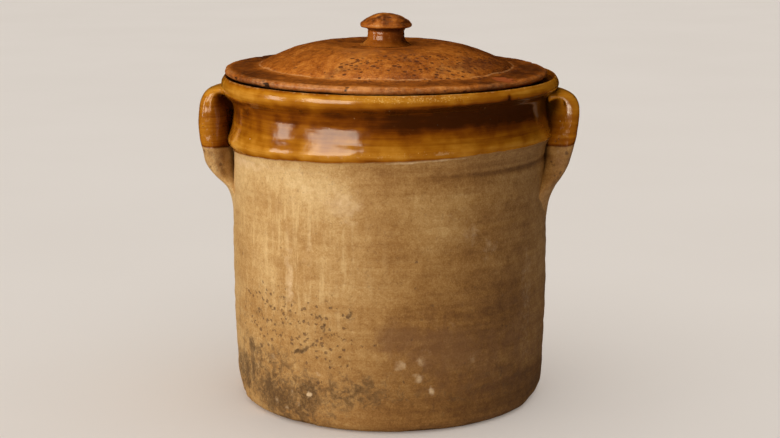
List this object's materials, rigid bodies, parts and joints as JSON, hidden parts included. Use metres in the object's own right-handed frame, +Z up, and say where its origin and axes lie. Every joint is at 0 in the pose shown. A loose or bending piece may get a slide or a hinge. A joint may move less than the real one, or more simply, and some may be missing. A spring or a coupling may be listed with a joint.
{
  "type": "ceramic crock fermenter",
  "caption": "Lidded stoneware fermenting crock: straight-walled pot with glazed collar, strap handles at the sides, domed lid with knob, and half-moon weight stones inside.",
  "frame": {"origin": "centre of the foot, on the surface the crock stands on", "axes": "+Z up along the pot's axis; +X through the right handle and -X through the left one; -Y is the front"},
  "size_m": [0.34, 0.2983, 0.3416],
  "materials": {
    "stoneware_body": "bare buff clay with a brown glazed collar",
    "stoneware_handle": "brown glaze over buff clay, dipped",
    "lid_glaze": "worn orange-brown glaze",
    "weight_stone": "unglazed stoneware, matt"
  },
  "bodies": {
    "crock": {"crock_body": "stoneware_body", "handle_left": "stoneware_handle", "handle_right": "stoneware_handle"},
    "lid": {"lid_plate": "lid_glaze", "lid_knob": "lid_glaze"},
    "front_weight": {"weight_front": "weight_stone"},
    "rear_weight": {"weight_rear": "weight_stone"}
  },
  "joints": [
    {"name": "lid_lift", "type": "slide", "parent": "crock", "child": "lid", "axis": [0, 0, 1], "range_m": [0, 0.16]},
    {"name": "weight_front_lift", "type": "slide", "parent": "crock", "child": "front_weight", "axis": [0, 0, 1], "range_m": [0, 0.225]},
    {"name": "weight_rear_lift", "type": "slide", "parent": "crock", "child": "rear_weight", "axis": [0, 0, 1], "range_m": [0, 0.225]}
  ]
}
